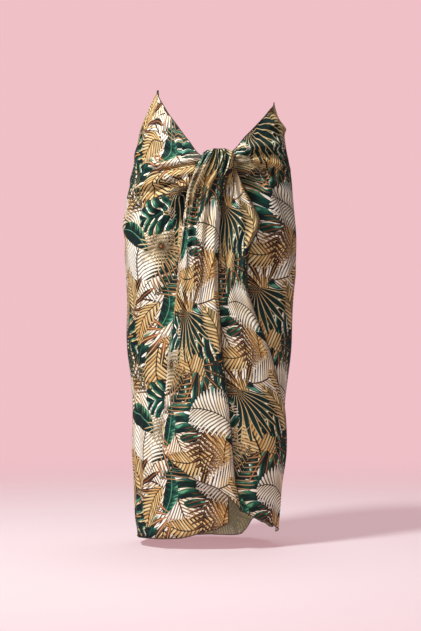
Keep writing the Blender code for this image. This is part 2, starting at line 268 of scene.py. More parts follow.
TailRow = namedtuple("TailRow", "height left right left_lift right_lift crown")
CENTRE_ROWS = [
    TailRow(-0.840, -33.0, 22.5, 0.009, 0.017, 0.008),
    TailRow(-0.765, -33.0, 15.8, 0.009, 0.020, 0.007),
    TailRow(-0.695, -32.7, 12.6, 0.008, 0.022, 0.006),
    TailRow(-0.640, -33.4, 11.0, 0.007, 0.023, 0.006),
    TailRow(-0.570, -30.5, 8.8, 0.007, 0.024, 0.005),
    TailRow(-0.490, -27.0, 5.6, 0.007, 0.025, 0.005),
    TailRow(-0.400, -22.8, 3.9, 0.007, 0.026, 0.005),
    TailRow(-0.290, -19.0, 2.7, 0.008, 0.026, 0.005),
    TailRow(-0.190, -15.6, 3.4, 0.010, 0.026, 0.005),
    TailRow(-0.130, -13.4, 4.8, 0.018, 0.026, 0.005),
    TailRow(-0.096, -12.0, 6.0, 0.026, 0.031, 0.004),
    TailRow(-0.0715, -9.4, 8.2, 0.036, 0.037, 0.005),
]
RIGHT_ROWS = [
    TailRow(-0.900, 22.5, 82.0, 0.006, 0.008, 0.003),
    TailRow(-0.834, 22.0, 82.0, 0.006, 0.008, 0.003),
    TailRow(-0.800, 14.0, 82.0, 0.006, 0.008, 0.003),
    TailRow(-0.720, 9.0, 84.0, 0.006, 0.008, 0.003),
    TailRow(-0.670, 7.0, 82.0, 0.006, 0.007, 0.003),
    TailRow(-0.610, 5.0, 74.0, 0.006, 0.006, 0.003),
    TailRow(-0.560, 3.0, 59.0, 0.006, 0.006, 0.003),
    TailRow(-0.485, 1.0, 45.5, 0.006, 0.006, 0.003),
    TailRow(-0.440, 0.0, 37.0, 0.006, 0.006, 0.003),
    TailRow(-0.380, -1.0, 27.5, 0.006, 0.007, 0.002),
    TailRow(-0.310, -2.0, 21.0, 0.006, 0.008, 0.002),
    TailRow(-0.235, -2.0, 22.0, 0.007, 0.009, 0.003),
    TailRow(-0.180, -1.5, 29.0, 0.008, 0.015, 0.005),
    TailRow(-0.137, 0.5, 24.0, 0.011, 0.019, 0.006),
    TailRow(-0.100, 4.0, 18.0, 0.018, 0.022, 0.006),
    TailRow(-0.0715, 6.0, 14.6, 0.024, 0.026, 0.004),
]

# The stretch above each tail, over the knot or up behind it, from its hidden end downwards
OverRow = namedtuple("OverRow", "along height left right left_lift right_lift crown")
CENTRE_OVER = [
    OverRow(0.000, -0.045, -1.0, 11.0, 0.006, 0.006, 0.004),
    OverRow(0.020, -0.026, -1.5, 12.0, 0.008, 0.008, 0.005),
    OverRow(0.036, -0.013, -2.5, 12.5, 0.014, 0.014, 0.006),
    OverRow(0.052, -0.0115, -3.6, 12.8, 0.026, 0.026, 0.007),
    OverRow(0.070, -0.020, -4.6, 12.4, 0.035, 0.035, 0.008),
    OverRow(0.090, -0.038, -6.2, 11.4, 0.039, 0.040, 0.008),
    OverRow(0.108, -0.055, -7.8, 10.0, 0.038, 0.039, 0.007),
    OverRow(0.125, -0.0715, -9.4, 8.2, 0.036, 0.037, 0.005),
]
RIGHT_OVER = [
    OverRow(0.000, -0.036, 6.0, 12.0, 0.014, 0.014, 0.002),
    OverRow(0.018, -0.053, 6.0, 13.4, 0.021, 0.022, 0.003),
    OverRow(0.036, -0.0715, 6.0, 14.6, 0.024, 0.026, 0.004),
]

HemPoint = namedtuple("HemPoint", "across height")
CENTRE_HEM = [
    HemPoint(0.0, -0.695),
    HemPoint(0.22, -0.727),
    HemPoint(0.5, -0.760),
    HemPoint(0.74, -0.783),
    HemPoint(1.0, -0.832),
]
RIGHT_HEM = [
    HemPoint(0.0, -0.834),
    HemPoint(0.30, -0.855),
    HemPoint(0.60, -0.869),
    HemPoint(1.0, -0.893),
]

Pleat = namedtuple("Pleat", "across end_across width rise end_rise")
CENTRE_PLEATS = [
    Pleat(0.20, 0.12, 0.15, 0.006, 0.007),
    Pleat(0.54, 0.44, 0.13, 0.006, 0.006),
    Pleat(0.84, 0.78, 0.12, 0.005, 0.006),
]
RIGHT_PLEATS = [
    Pleat(0.62, 0.30, 0.14, 0.003, 0.002),
    Pleat(0.80, 0.58, 0.13, 0.004, 0.005),
    Pleat(0.96, 0.86, 0.11, 0.003, 0.005),
]

# Narrow pleats that come out of the knot and fade down the tails
CENTRE_KNOT_PLEATS = [
    Pleat(0.08, 0.05, 0.050, 0.009, 0.002),
    Pleat(0.27, 0.22, 0.060, 0.012, 0.003),
    Pleat(0.44, 0.50, 0.030, 0.006, 0.001),
    Pleat(0.60, 0.64, 0.050, 0.011, 0.003),
    Pleat(0.86, 0.93, 0.055, 0.010, 0.003),
]
RIGHT_KNOT_PLEATS = [
    Pleat(0.30, 0.12, 0.070, 0.004, 0.001),
    Pleat(0.60, 0.42, 0.080, 0.007, 0.001),
    Pleat(0.88, 0.84, 0.070, 0.008, 0.001),
]
CREST_ROUND = 0.016
PLEATS_DEEPEN = 6
KNOT_PLEATS_FADE = 1.7
TAIL_SLACK = 0.0006

# How far a tail's edges curl in, and over what share of its width
EDGE_CURL = 0.004
EDGE_CURL_WIDTH = 0.035

# Each tail: the cloth across it, where the print starts, and the flat size and area it states
Tail = namedtuple(
    "Tail",
    "name node over over_rows rows hem pleats knot_pleats cloth_width print_u print_v flat area",
)
CENTRE_TAIL = Tail(
    name="tail_centre_cloth",
    node="tail_centre",
    over=CENTRE_OVER,
    over_rows=40,
    rows=CENTRE_ROWS,
    hem=CENTRE_HEM,
    pleats=CENTRE_PLEATS,
    knot_pleats=CENTRE_KNOT_PLEATS,
    cloth_width=0.215,
    print_u=1.58,
    print_v=1.16,
    flat=(0.16, 0.88),
    area=0.125,
)
RIGHT_TAIL = Tail(
    name="tail_right_cloth",
    node="tail_right",
    over=RIGHT_OVER,
    over_rows=12,
    rows=RIGHT_ROWS,
    hem=RIGHT_HEM,
    pleats=RIGHT_PLEATS,
    knot_pleats=RIGHT_KNOT_PLEATS,
    cloth_width=0.205,
    print_u=1.31,
    print_v=0.62,
    flat=(0.19, 0.86),
    area=0.112,
)

# The knot's roll of cloth, from its end at -X to its end at +X
KNOT_COLUMNS = 60
KNOT_SIDES = 72
KNOT_START = -0.036
KNOT_LENGTH = 0.094
KNOT_MIDDLE_Y = -0.137
KNOT_MIDDLE_Z = -0.042
KNOT_BOW = 0.012
KNOT_RISE = 0.010
KNOT_HALF_DEPTH = 0.017
KNOT_HALF_HEIGHT = 0.026
KNOT_CLOTH_ROUND = 0.30

# The weave: metres from one thread to the next but one
THREAD_PITCH = 0.0009

# Studio lights, with their sizes in metres and their powers in watts
Lamp = namedtuple("Lamp", "name place size power")
LAMPS = [
    Lamp("key light", (-1.6, -1.6, 2.2), 0.6, 153),
    Lamp("fill light", (1.6, -2.8, 0.3), 1.6, 8),
    Lamp("top light", (0.2, 0.6, 2.0), 1.2, 22),
    Lamp("low light", (-0.6, -2.6, -0.75), 0.8, 9),
]
LAMPS_AIM = (0.0, 0.0, -0.40)


def curve(table, column, at):
    """The column's values at keys in the first column, along a smooth curve through the rows."""
    rows = sorted(table)
    keys = np.array([row[0] for row in rows], float)
    values = np.array([getattr(row, column) for row in rows], float)
    slopes = np.empty_like(values)
    slopes[1:-1] = (values[2:] - values[:-2]) / (keys[2:] - keys[:-2])
    slopes[0] = (values[1] - values[0]) / (keys[1] - keys[0])
    slopes[-1] = (values[-1] - values[-2]) / (keys[-1] - keys[-2])
    at = np.clip(at, keys[0], keys[-1])
    i = np.clip(np.searchsorted(keys, at, side="right") - 1, 0, len(keys) - 2)
    span = keys[i + 1] - keys[i]
    u = (at - keys[i]) / span
    return (
        values[i] * (2 * u**3 - 3 * u**2 + 1)
        + slopes[i] * span * (u**3 - 2 * u**2 + u)
        + values[i + 1] * (3 * u**2 - 2 * u**3)
        + slopes[i + 1] * span * (u**3 - u**2)
    )


def turned(angle):
    """The same direction as an angle from -180 to 180."""
    return (angle + 180) % 360 - 180


def signed_power(value, power):
    """A power that keeps the value's sign."""
    return np.abs(value) ** power * np.where(value >= 0, 1, -1)


def fold_lift(folds, angle, height):
    """How far the ridges in a table lift the cloth. Each is steeper on its lower side."""
    total = np.zeros_like(height)
    for fold in folds:
        across = np.radians(turned(angle - fold.angle)) * MEAN_RADIUS
        up = height - fold.height
        run = radians(fold.end_angle - fold.angle) * MEAN_RADIUS
        rise = fold.end_height - fold.height
        along = np.clip((across * run + up * rise) / (run**2 + rise**2), 0, 1)
        distance = np.hypot(across - along * run, up - along * rise)
        side = np.sign((across * rise - up * run) * (1 if run > 0 else -1))
        width = fold.width * (1 - LEAN * side)
        strength = fold.rise + (fold.end_rise - fold.rise) * along
        if fold.end_rise < fold.rise:
            last = np.clip((along - FADE_FROM) / (1 - FADE_FROM), 0, 1)
            strength = strength * (1 - FADE_AT_END * last**2 * (3 - 2 * last))
        total += (strength * np.exp(-((distance / width) ** 2))) ** FOLD_BLEND
    return total ** (1 / FOLD_BLEND)


def knot_offset(angle, height):
    """How far across and up from the knot a place on the cloth is."""
    return np.radians(turned(angle - KNOT_ANGLE)) * MEAN_RADIUS, height - KNOT_HEIGHT


def near_knot(angle, height, reach):
    """1 at the knot, fading to nothing past the reach."""
    across, up = knot_offset(angle, height)
    return np.exp(-((np.hypot(across, up) / reach) ** 2))


def gather_pleats(angle, height):
    """The fine pleats round the knot."""
    across, up = knot_offset(angle, height)
    away = np.hypot(across, up)
    direction = np.degrees(np.arctan2(up, across))
    lift = np.zeros_like(height)
    for gather in GATHERS:
        off = turned(direction - gather.direction) / gather.width
        lift += gather.rise * np.exp(-(off**2) - (away / gather.reach) ** 2)
    return lift * (1 - near_knot(angle, height, PLEATS_START))


def slack(angle, height):
    """Slight unevenness of the whole cloth."""
    turn = np.radians(angle)
    wave = np.sin(7 * turn + 9 * height + 1.3) * np.sin(31 * height - 5 * turn)
    wave = wave + 0.7 * np.sin(13 * turn - 17 * height) * np.sin(19 * height + 4 * turn + 0.6)
    return SLACK * wave


def shape_points(angle, height, out):
    """Points out from the smooth body shape, square to its outline."""
    turn = np.radians(angle)
    right = curve(SECTIONS, "right", height)
    left = curve(SECTIONS, "left", height)
    front = curve(SECTIONS, "front", height)
    back = curve(SECTIONS, "back", height)
    side = np.where(np.sin(turn) > 0, right, left)
    depth = np.where(np.cos(turn) > 0, front, back)
    x = side * signed_power(np.sin(turn), 2 / ROUNDNESS)
    y = -depth * signed_power(np.cos(turn), 2 / ROUNDNESS)
    across = signed_power(x / side, ROUNDNESS - 1) / side
    along = signed_power(y / depth, ROUNDNESS - 1) / depth
    size = np.hypot(across, along)
    return np.stack([x + out * across / size, y + out * along / size, height], axis=-1)


def wrap_lift(angle, height):
    """How far the folds and gathers bring the wrap out from the body shape."""
    gather = GATHER_FORWARD * near_knot(angle, height, GATHER_REACH)
    deeper = 1 + DEEPER_NEAR_KNOT * near_knot(angle, height, DEEPER_REACH)
    folds = fold_lift(WRAP_FOLDS, angle, height) * deeper
    folds = folds + fold_lift(SMALL_FOLDS, angle, height)
    return folds + gather_pleats(angle, height) + slack(angle, height) + gather


def linked_piece(name, points, faces, cloth_uv=None):
    """A smooth mesh object. Its flat cloth coordinates in metres, if given, are its UV map."""
    mesh = bpy.data.meshes.new(name)
    mesh.from_pydata(points.reshape(-1, 3).tolist(), [], faces)
    if cloth_uv is not None:
        layer = mesh.uv_layers.new(name="cloth")
        corner = np.empty(len(mesh.loops), int)
        mesh.loops.foreach_get("vertex_index", corner)
        layer.data.foreach_set("uv", cloth_uv.reshape(-1, 2)[corner].astype(np.float32).ravel())
    mesh.shade_smooth()
    piece = bpy.data.objects.new(name, mesh)
    bpy.context.scene.collection.objects.link(piece)
    return piece


def edit_whole(piece, *steps):
    """Edit-mode steps on all of one piece, which end with its faces turned outwards."""
    bpy.ops.object.select_all(action="DESELECT")
    piece.select_set(True)
    bpy.context.view_layer.objects.active = piece
    bpy.ops.object.mode_set(mode="EDIT")
    bpy.ops.mesh.select_all(action="SELECT")
    for step in steps:
        step()
    bpy.ops.mesh.normals_make_consistent(inside=False)
    bpy.ops.object.mode_set(mode="OBJECT")


def cloth_object(name, points, cloth_uv, flip=False):
    """A sheet of cloth from a grid of points, with its flat coordinates."""
    rows, columns = points.shape[0] - 1, points.shape[1] - 1
    index = np.arange((rows + 1) * (columns + 1)).reshape(rows + 1, columns + 1)
    quads = np.stack([index[:-1, :-1], index[1:, :-1], index[1:, 1:], index[:-1, 1:]], axis=-1)
    quads = quads.reshape(-1, 4)
    if flip:
        quads = quads[:, ::-1]
    return linked_piece(name, points, quads.tolist(), cloth_uv)


def give_wall(piece):
    """The cloth's thickness, inwards, with the wrong side's material on the inner face."""
    piece.data.materials.append(MATERIALS["printed_cloth"])
    piece.data.materials.append(MATERIALS["cloth_reverse"])
    wall = piece.modifiers.new("cloth", "SOLIDIFY")
    wall.thickness = CLOTH
    wall.offset = -1
    wall.material_offset = 1
    wall.material_offset_rim = 1


def rolled_hem(name, line, edge_uv=None):
    """A narrow rolled hem along a line of points, of dark thread or of the cloth itself."""
    line = np.asarray(line)
    ahead = np.roll(line, -1, axis=0) - line
    behind = line - np.roll(line, 1, axis=0)
    ahead[-1], behind[0] = behind[-1], ahead[0]
    tangent = ahead / np.linalg.norm(ahead, axis=1, keepdims=True)
    tangent += behind / np.linalg.norm(behind, axis=1, keepdims=True)
    tangent /= np.linalg.norm(tangent, axis=1, keepdims=True)
    outward = line * np.array([1.0, 1.0, 0.0]) + 1e-6
    side = np.cross(tangent, outward)
    side /= np.linalg.norm(side, axis=1, keepdims=True)
    up = np.cross(side, tangent)
    rings = []
    for k in range(HEM_SIDES):
        turn = 2 * pi * k / HEM_SIDES
        rings.append(line + HEM_RADIUS * (cos(turn) * side + sin(turn) * up))
    points = np.stack(rings, axis=1)
    count = len(line)
    faces = []
    for i in range(count - 1):
        j = i + 1
        for k in range(HEM_SIDES):
            m = (k + 1) % HEM_SIDES
            faces.append((i * HEM_SIDES + k, i * HEM_SIDES + m, j * HEM_SIDES + m, j * HEM_SIDES + k))
    faces.append(tuple(range(HEM_SIDES))[::-1])
    faces.append(tuple((count - 1) * HEM_SIDES + k for k in range(HEM_SIDES)))
    finish = "hem_stitching"
    cloth_uv = None
    if edge_uv is not None:
        finish = "printed_cloth"
        cloth_uv = np.repeat(edge_uv, HEM_SIDES, axis=0)
    piece = linked_piece(name, points, faces, cloth_uv)
    piece.data.materials.append(MATERIALS[finish])
    edit_whole(piece)
    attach(piece, "root")
    return piece


def wrap_on_flat_cloth(angle, height, lift):
    """Where the wrap lies on the flat cloth: round the girth, and down with the folds' take-up."""
    turns = np.linspace(-20, 340, GIRTH_STEPS + 1)
    ring = shape_points(turned(-turns), np.full(GIRTH_STEPS + 1, GIRTH_HEIGHT), 0.0)
    arc = np.concatenate([[0], np.cumsum(np.linalg.norm(np.diff(ring, axis=0), axis=1))])
    around = np.interp(-angle, turns, arc)
    near = near_knot(turned(angle), height, GATHER_CLOTH_REACH)
    step = np.hypot(np.diff(height, axis=0), CLOTH_IN_FOLDS * np.diff(lift, axis=0))
    fall = np.concatenate([0 * step[:1], np.cumsum(step, axis=0)])
    level_row = int(WRAP_ROWS * LEVEL_SHARE)
    fall = fall - fall[level_row] - height[level_row]
    flat_height = -fall + (height - KNOT_HEIGHT) * GATHER_CLOTH * near
    return np.stack([-around, flat_height], axis=-1)


def make_wrap():
    """The cloth that goes once round the body, from its left free edge to its right one."""
    down = (np.arange(WRAP_ROWS + 1) / WRAP_ROWS)[:, None]
    down = down * (ROW_START + (1 - ROW_START) * down**3)
    across = (np.arange(WRAP_COLUMNS + 1) / WRAP_COLUMNS)[None, :]
    across = across - CLOSER_IN_FRONT * np.sin(2 * pi * across)
    first = FRONT_TOP - HALF_EDGE_GAP + (LEFT_EDGE_AT_HEM - FRONT_TOP) * down
    last = FRONT_TOP + HALF_EDGE_GAP + (RIGHT_EDGE_AT_HEM - FRONT_TOP) * down - 360
    angle = first + (last - first) * across
    facing = turned(angle)
    top = curve(TOP_EDGE, "height", facing)
    hem = curve(HEM, "height", facing)
    height = top + (hem - top) * down
    lift = wrap_lift(facing, height)
    points = shape_points(facing, height, lift)
    piece = cloth_object("wrap_cloth", points, wrap_on_flat_cloth(angle, height, lift), flip=True)
    give_wall(piece)
    hems = [
        rolled_hem("wrap_top_hem", points[0]),
        rolled_hem("wrap_bottom_hem", points[-1]),
        rolled_hem("wrap_left_edge", points[:, 0]),
        rolled_hem("wrap_right_edge", points[:, -1]),
    ]
    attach(piece, "root")
    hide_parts("wrap_left", "wrap_back", "wrap_right")


def pleat_lift(pleats, across, down):
    """How far a table's pleats lift a tail. Each drifts across it on its way down."""
    lift = np.zeros_like(across)
    for pleat in pleats:
        middle = pleat.across + (pleat.end_across - pleat.across) * down
        strength = pleat.rise + (pleat.end_rise - pleat.rise) * down
        lift = lift + strength * np.exp(-(((across - middle) / pleat.width) ** 2))
    return lift


def tail_lift(tail, value, across, down):
    """How far a tail lies out from the body, with its pleats and its curled edges."""
    lift = value["left_lift"] + (value["right_lift"] - value["left_lift"]) * across
    lift = lift + value["crown"] * np.sin(pi * across)
    lift = lift + pleat_lift(tail.pleats, across, down) * np.minimum(1, PLEATS_DEEPEN * down)
    lift = lift + pleat_lift(tail.knot_pleats, across, np.minimum(1, KNOT_PLEATS_FADE * down))
    left_curl = np.exp(-((across / EDGE_CURL_WIDTH) ** 2))
    right_curl = np.exp(-(((1 - across) / EDGE_CURL_WIDTH) ** 2))
    lift = lift - EDGE_CURL * (left_curl + right_curl)
    return lift + TAIL_SLACK * np.sin(23 * value["height"] + 9 * across)


def cloth_taken_up(value, lift):
    """The share of a tail's flat width at each point across it, from its left edge."""
    spread = np.radians(value["right"] - value["left"]) * MEAN_RADIUS / TAIL_COLUMNS
    step = np.hypot(spread[:, 1:], CLOTH_IN_FOLDS * np.diff(lift, axis=1))
    taken = np.concatenate([0 * step[:, :1], np.cumsum(step, axis=1)], axis=1)
    return taken / taken[:, -1:]


def make_tail(tail):
    """A tail of cloth with the stretch above it that comes out of the knot."""
    across = (np.arange(TAIL_COLUMNS + 1) / TAIL_COLUMNS)[None, :]
    over_length = tail.over[-1].along
    along = np.linspace(0, over_length, tail.over_rows + 1)[:, None] + 0 * across
    upper = {c: curve(tail.over, c, along) for c in tail.over[0]._fields[1:]}
    down = (np.arange(1, TAIL_ROWS + 1) / TAIL_ROWS)[:, None] ** TAIL_ROW_SPREAD + 0 * across
    top = tail.over[-1].height
    height = top + (curve(tail.hem, "height", across) - top) * down
    lower = {c: curve(tail.rows, c, height) for c in tail.rows[0]._fields[1:]}
    lower["height"] = height
    hidden = 1 - along / over_length
    upper["height"] = upper["height"] - CREST_ROUND * np.abs(2 * across - 0.9) ** 3 * hidden
    value = {c: np.concatenate([upper[c], lower[c]]) for c in lower}
    down = np.concatenate([0 * along, down])
    across = across + 0 * down
    lift = tail_lift(tail, value, across, down)
    angle = value["left"] + (value["right"] - value["left"]) * across
    points = shape_points(angle, value["height"], lift + WALL)
    fall = np.concatenate([along, over_length + (top - height)])
    taken = cloth_taken_up(value, lift)
    cloth_uv = np.stack([taken * tail.cloth_width + tail.print_u, -fall + tail.print_v], axis=-1)
    piece = cloth_object(tail.name, points, cloth_uv)
    give_wall(piece)
    hems = [
        rolled_hem(tail.name + "_left_hem", points[:, 0], cloth_uv[:, 0]),
        rolled_hem(tail.name + "_right_hem", points[:, -1]),
        rolled_hem(tail.name + "_bottom_hem", points[-1]),
    ]
    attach(piece, "root")
    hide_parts(tail.node)


def close_ends():
    """Joins a roll's seam and covers its two ends."""
    bpy.ops.mesh.remove_doubles(threshold=0.00001)
    bpy.ops.mesh.fill_holes(sides=0)


def make_knot():
    """The drawn cloth that crosses behind the centre tail, in rolls along its run."""
    run = (np.arange(KNOT_COLUMNS + 1) / KNOT_COLUMNS)[:, None]
    turn = (2 * pi * np.arange(KNOT_SIDES + 1) / KNOT_SIDES)[None, :]
    swell = np.sin(pi * (0.08 + 0.84 * run)) ** 0.5
    ridges = 1 + 0.10 * np.cos(7 * turn + 3.0 * run) + 0.05 * np.cos(4 * turn - 5 * run)
    deep = KNOT_HALF_DEPTH * swell * ridges
    tall = KNOT_HALF_HEIGHT * swell * ridges
    x = KNOT_START + KNOT_LENGTH * run + 0 * turn
    y = KNOT_MIDDLE_Y + KNOT_BOW * (2 * run - 1) ** 2 - deep * np.cos(turn)
    z = KNOT_MIDDLE_Z + KNOT_RISE * (run - 0.4) + tall * np.sin(turn)
    cloth_uv = np.stack([0.5 + x, KNOT_CLOTH_ROUND * turn / (2 * pi) + 0 * x], axis=-1)
    piece = cloth_object("knot_cloth", np.stack([x, y, z], axis=-1), cloth_uv, flip=True)
    edit_whole(piece, close_ends)
    piece.data.materials.append(MATERIALS["printed_cloth"])
    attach(piece, "root")
    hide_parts("knot")


def srgb(red, green, blue):
    """A colour as the eye reads it, from 0 to 255, made linear."""
    out = []
    for channel in (red, green, blue):
        c = channel / 255
        out.append(c / 12.92 if c <= 0.04045 else ((c + 0.055) / 1.055) ** 2.4)
    return (*out, 1.0)


COLOURS = {
    "cream": srgb(251, 245, 230),
    "paper": srgb(232, 218, 192),
    "gold": srgb(236, 206, 150),
    "ochre": srgb(208, 162, 98),
    "rust": srgb(170, 104, 62),
    "brown": srgb(74, 44, 28),
    "umber": srgb(26, 19, 15),
    "grey": srgb(100, 90, 80),
    "khaki": srgb(132, 122, 72),
    "teal": srgb(6, 26, 29),
    "pine": srgb(11, 45, 40),
    "leaf": srgb(22, 86, 68),
    "mint": srgb(116, 190, 156),
}

# A weight too small to change a value that it is added to
NEXT_TO_NOTHING = (1e-9, 1e-9, 1e-9)


class Shader:
    """Short ways to add nodes to one tree. Inputs are sockets or constants."""

    def __init__(self, tree):
        self.tree = tree

    def put(self, socket, value):
        if isinstance(value, bpy.types.NodeSocket):
            self.tree.links.new(value, socket)
        else:
            socket.default_value = value

    def math(self, operation, *values):
        node = self.tree.nodes.new("ShaderNodeMath")
        node.operation = operation
        for socket, value in zip(node.inputs, values):
            self.put(socket, value)
        return node.outputs[0]

    def add(self, a, b):
        return self.math("ADD", a, b)

    def sub(self, a, b):
        return self.math("SUBTRACT", a, b)

    def mul(self, a, b):
        return self.math("MULTIPLY", a, b)

    def size(self, a):
        return self.math("ABSOLUTE", a)

    def distance(self, x, y):
        return self.math("SQRT", self.add(self.mul(x, x), self.mul(y, y)))

    def above(self, a, b):
        return self.math("GREATER_THAN", a, b)

    def below(self, a, b):
        return self.math("LESS_THAN", a, b)

    def ramp(self, value, low, high):
        """0 below low, 1 above high, smooth between."""
        node = self.tree.nodes.new("ShaderNodeMapRange")
        node.interpolation_type = "SMOOTHSTEP"
        self.put(node.inputs["Value"], value)
        node.inputs["From Min"].default_value = low
        node.inputs["From Max"].default_value = high
        return node.outputs["Result"]

    def mix(self, factor, a, b, blend="MIX"):
        """The first colour at factor 0, the second one over it at factor 1."""
        node = self.tree.nodes.new("ShaderNodeMix")
        node.data_type = "RGBA"
        node.blend_type = blend
        self.put(node.inputs["Factor"], factor)
        self.put(node.inputs[6], a)
        self.put(node.inputs[7], b)
        return node.outputs[2]

    def shade(self, colour, factor):
        """The colour made lighter or darker by a factor."""
        node = self.tree.nodes.new("ShaderNodeVectorMath")
        node.operation = "SCALE"
        self.put(node.inputs[0], colour)
        self.put(node.inputs["Scale"], factor)
        return node.outputs[0]

    def after(self, vector, colour):
        """The same vector, worked out only once the colour is known.

        Each leaf so waits for the one under it, and the renderer holds few values at a time.
        """
        node = self.tree.nodes.new("ShaderNodeVectorMath")
        node.operation = "MULTIPLY_ADD"
        self.put(node.inputs[0], colour)
        node.inputs[1].default_value = NEXT_TO_NOTHING
        self.put(node.inputs[2], vector)
        return node.outputs[0]

    def split(self, vector):
        node = self.tree.nodes.new("ShaderNodeSeparateXYZ")
        self.put(node.inputs[0], vector)
        return node.outputs[0], node.outputs[1]

    def join(self, x, y):
        node = self.tree.nodes.new("ShaderNodeCombineXYZ")
        self.put(node.inputs[0], x)
        self.put(node.inputs[1], y)
        return node.outputs[0]

    def noise(self, vector, scale, detail=2.0):
        node = self.tree.nodes.new("ShaderNodeTexNoise")
        self.put(node.inputs["Vector"], vector)
        node.inputs["Scale"].default_value = scale
        node.inputs["Detail"].default_value = detail
        return node.outputs["Fac"]

    def stripe(self, value):
        """0 in the middle of each whole step, 1 where two steps meet."""
        part = self.math("FRACT", value)
        return self.mul(self.size(self.sub(part, 0.5)), 2.0)


# The print's repeat, each column half a repeat above the one before, and how far its lines waver
REPEAT_WIDTH = 0.30
REPEAT_HEIGHT = 0.42
HAND_WAVER = 0.014


def leaf_group(name, draw):
    """A node group that draws one kind of leaf over what lies under it."""
    tree = bpy.data.node_groups.new(name, "ShaderNodeTree")
    face = tree.interface
    face.new_socket("Cloth", in_out="INPUT", socket_type="NodeSocketVector")
    for label in ("Centre U", "Centre V", "Along U", "Along V", "Bend", "Width", "Ribs"):
        face.new_socket(label, in_out="INPUT", socket_type="NodeSocketFloat")
    for label in ("Dark", "Middle", "Light", "Under"):
        face.new_socket(label, in_out="INPUT", socket_type="NodeSocketColor")
    face.new_socket("Colour", in_out="OUTPUT", socket_type="NodeSocketColor")
    given = tree.nodes.new("NodeGroupInput").outputs
    result = tree.nodes.new("NodeGroupOutput").inputs[0]
    s = Shader(tree)
    u, v = s.split(given["Cloth"])
    across = s.sub(u, given["Centre U"])
    up = s.sub(v, given["Centre V"])
    column = s.math("ROUND", s.mul(across, 1 / REPEAT_WIDTH))
    across = s.sub(across, s.mul(column, REPEAT_WIDTH))
    up = s.sub(up, s.mul(column, REPEAT_HEIGHT / 2))
    row = s.math("ROUND", s.mul(up, 1 / REPEAT_HEIGHT))
    up = s.sub(up, s.mul(row, REPEAT_HEIGHT))
    y = s.add(s.add(s.mul(across, given["Along U"]), s.mul(up, given["Along V"])), 0.5)
    x = s.sub(s.mul(across, given["Along V"]), s.mul(up, given["Along U"]))
    lean = s.sub(y, 0.5)
    x = s.add(x, s.mul(s.mul(lean, lean), given["Bend"]))
    draw(s, x, y, given, result)
    return tree


def half_width(s, y, width, blunt):
    """A leaf's half width: nothing at its base and tip, full between them."""
    rise = s.math("MAXIMUM", s.mul(y, s.sub(1.0, y)), 0.00001)
    return s.mul(s.math("POWER", s.mul(rise, 4.0), blunt), width)


def draw_frond(s, x, y, given, result):
    """A palm frond: slanting leaflets of several tones along a midrib, dark between them."""
    side = s.size(x)
    width = half_width(s, y, given["Width"], 0.62)
    reach = s.math("DIVIDE", side, width)
    place = s.mul(s.sub(y, s.mul(side, 0.85)), given["Ribs"])
    leaflet = s.stripe(place)
    gap = s.sub(0.95, s.mul(s.mul(reach, reach), 0.72))
    inside = s.mul(s.below(reach, 1.0), s.below(leaflet, gap))
    filled = s.mul(s.below(reach, 0.78), s.above(leaflet, gap))
    own = s.noise(s.join(s.math("FLOOR", place), s.mul(s.above(x, 0.0), 3.7)), 1.73, 0.0)
    light = s.add(s.ramp(own, 0.36, 0.62), s.mul(reach, 0.45))
    tone = s.mix(s.math("MINIMUM", light, 1.0), given["Middle"], given["Light"])
    away = s.mul(s.ramp(s.math("FRACT", place), 0.32, 1.0), s.sub(1.0, s.mul(reach, 0.45)))
    tone = s.mix(s.mul(away, 0.85), tone, given["Dark"])
    edge = s.ramp(s.sub(leaflet, gap), -0.26, -0.06)
    tone = s.mix(s.mul(edge, 0.55), tone, given["Dark"])
    tone = s.mix(s.below(side, 0.010), tone, given["Dark"])
    colour = s.mix(filled, given["Under"], given["Dark"])
    s.put(result, s.mix(inside, colour, tone))


def draw_feather(s, x, y, given, result):
    """A pale frond drawn with thin ribs that curve out from the midrib."""
    side = s.size(x)
    width = half_width(s, y, given["Width"], 0.45)
    reach = s.math("DIVIDE", side, width)
    sweep = s.add(s.mul(side, 1.1), s.mul(s.mul(side, side), -1.1))
    rib = s.stripe(s.mul(s.sub(y, sweep), given["Ribs"]))
    notch = s.sub(1.0, s.mul(s.ramp(reach, 0.50, 1.05), 0.60))
    inside = s.mul(s.below(reach, 1.0), s.below(rib, notch))
    tone = s.mix(s.ramp(reach, 0.0, 0.8), given["Middle"], given["Light"])
    shade = s.ramp(s.noise(s.join(s.mul(y, 4.0), s.mul(x, 4.0)), 1.0), 0.45, 0.70)
    tone = s.mix(s.mul(shade, 0.5), tone, given["Middle"])
    near = s.mul(s.sub(1.0, s.math("MINIMUM", reach, 1.0)), 0.22)
    line = s.ramp(s.add(s.sub(rib, notch), near), -0.36, -0.10)
    tone = s.mix(s.mul(line, 0.90), tone, given["Dark"])
    tone = s.mix(s.below(side, 0.009), tone, given["Dark"])
    s.put(result, s.mix(inside, given["Under"], tone))


def draw_fan(s, x, y, given, result):
    """A fan palm: ribs that spread from the base, notched round its rim."""
    turn = s.math("ARCTAN2", x, y)
    out = s.distance(x, y)
    rib = s.stripe(s.mul(turn, given["Ribs"]))
    rim = s.sub(1.0, s.mul(s.mul(rib, rib), 0.25))
    gap = s.sub(1.0, s.mul(s.ramp(out, 0.45, 1.0), 0.6))
    inside = s.mul(s.below(out, rim), s.below(rib, gap))
    inside = s.mul(inside, s.below(s.size(turn), given["Width"]))
    tone = s.mix(s.ramp(out, 0.05, 0.9), given["Dark"], given["Middle"])
    line = s.ramp(s.sub(rib, gap), -0.24, -0.08)
    tone = s.mix(s.mul(line, 0.85), tone, given["Light"])
    s.put(result, s.mix(inside, given["Under"], tone))


